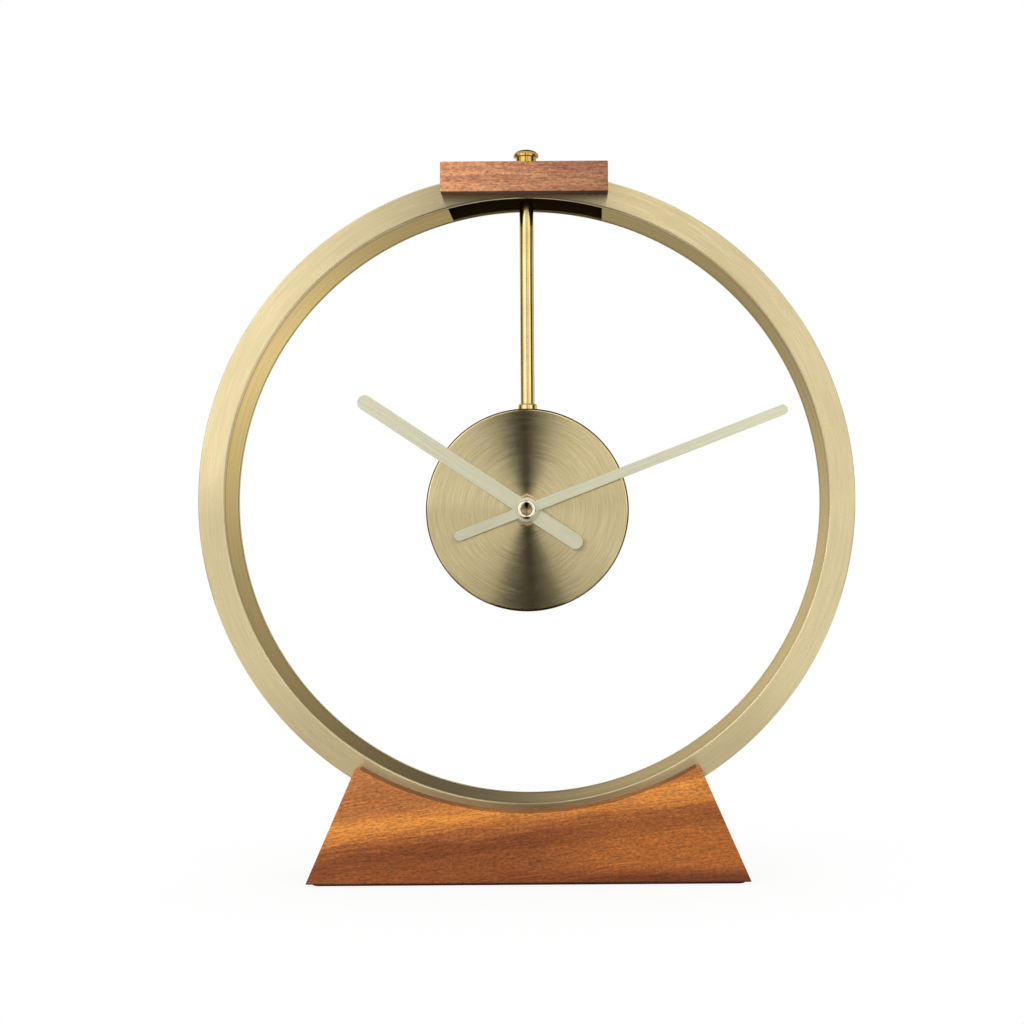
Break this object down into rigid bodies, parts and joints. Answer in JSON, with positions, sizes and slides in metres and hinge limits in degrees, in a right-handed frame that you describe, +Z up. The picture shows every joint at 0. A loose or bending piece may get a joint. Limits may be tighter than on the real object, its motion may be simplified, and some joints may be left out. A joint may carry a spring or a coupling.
{
  "type": "ring desk clock",
  "caption": "Desk clock: a brass hoop on a dished wooden foot, a battery clock drum hung inside it from a rod, and long hands that sweep the hoop.",
  "frame": {"origin": "on the table, under the middle of the foot", "axes": "+X to the right seen from the front, +Y to the back, so that the dial faces -Y, and +Z up"},
  "size_m": [0.3, 0.06, 0.3379],
  "materials": {
    "satin_brass": "satin champagne brass, fine lengthwise brushing",
    "brushed_brass": "circular brushed brass",
    "polished_brass": "polished brass",
    "champagne": "pale champagne satin anodised",
    "nickel": "bright nickel plate",
    "steel": "zinc-plated steel",
    "dark_wood": "oiled reddish brown wood, straight grain",
    "pale_wood": "oiled pale brown wood, straight grain",
    "foam": "matt black foam rubber",
    "rubber": "matt black rubber",
    "black_plastic": "fine-textured black plastic",
    "white_plastic": "natural white plastic",
    "grey_plastic": "grey plastic",
    "resin": "black potting resin",
    "board": "green circuit board laminate",
    "copper": "enamelled copper wire",
    "magnet": "dark grey magnet",
    "battery_can": "plain satin sleeve"
  },
  "bodies": {
    "frame": {"hoop_channel": "satin_brass", "hoop_cover_strip": "satin_brass", "anchor_plate": "steel", "foot_block": "dark_wood", "foot_pad": "foam", "foot_screw_1": "steel", "foot_screw_2": "steel", "top_block": "pale_wood", "dome_nut": "polished_brass", "lock_washer": "steel", "lock_nut": "steel", "hanger_rod": "polished_brass", "rod_collar": "polished_brass", "drum_nut": "steel", "drum_shell": "brushed_brass", "rear_cover": "brushed_brass", "rear_screw_1": "steel", "rear_screw_2": "steel", "rear_screw_3": "steel", "shaft_washer": "polished_brass", "shaft_nut": "polished_brass", "movement_case": "black_plastic", "movement_cover": "black_plastic", "rubber_gasket": "rubber", "train_plate": "white_plastic", "stator": "steel", "coil_core": "steel", "coil_bobbin": "grey_plastic", "coil_winding": "copper", "circuit_board": "board", "control_chip": "resin", "quartz_crystal": "nickel", "battery_contact_positive": "nickel", "battery_contact_negative": "nickel"},
    "minute": {"minute_arbor": "white_plastic", "centre_wheel": "white_plastic", "minute_hand": "champagne", "hand_cap": "nickel"},
    "hour": {"hour_wheel": "white_plastic", "hour_hand": "champagne"},
    "motion_wheel": {"minute_wheel": "white_plastic"},
    "train_wheel": {"intermediate_wheel": "white_plastic"},
    "motor_rotor": {"rotor": "magnet"},
    "setting": {"setting_pinion": "white_plastic", "setting_knob": "white_plastic"},
    "cell": {"battery": "battery_can"}
  },
  "joints": [
    {"name": "minute_turn", "type": "hinge", "parent": "frame", "child": "minute", "pos_m": [0, 0, 0.1698], "axis": [0, 1, 0], "continuous": true},
    {"name": "hour_turn", "type": "hinge", "parent": "frame", "child": "hour", "pos_m": [0, 0, 0.1698], "axis": [0, 1, 0], "continuous": true},
    {"name": "motion_wheel_turn", "type": "hinge", "parent": "frame", "child": "motion_wheel", "pos_m": [0.0072, 0, 0.1698], "axis": [0, 1, 0], "continuous": true},
    {"name": "train_wheel_turn", "type": "hinge", "parent": "frame", "child": "train_wheel", "pos_m": [-0.00625, 0, 0.17872], "axis": [0, 1, 0], "continuous": true},
    {"name": "rotor_turn", "type": "hinge", "parent": "frame", "child": "motor_rotor", "pos_m": [0.00103, 0, 0.18292], "axis": [0, 1, 0], "continuous": true},
    {"name": "setting_turn", "type": "hinge", "parent": "frame", "child": "setting", "pos_m": [0.0108, 0, 0.17604], "axis": [0, 1, 0], "continuous": true},
    {"name": "cell_slide", "type": "slide", "parent": "frame", "child": "cell", "axis": [0, 1, 0], "range_m": [0, 0.03]}
  ],
  "couplings": [
    {"joint": "hour_turn", "follows": "minute_turn", "ratio": 0.083333},
    {"joint": "motion_wheel_turn", "follows": "minute_turn", "ratio": -0.33333},
    {"joint": "train_wheel_turn", "follows": "minute_turn", "ratio": -10},
    {"joint": "rotor_turn", "follows": "minute_turn", "ratio": 90},
    {"joint": "setting_turn", "follows": "minute_turn", "ratio": 1}
  ]
}
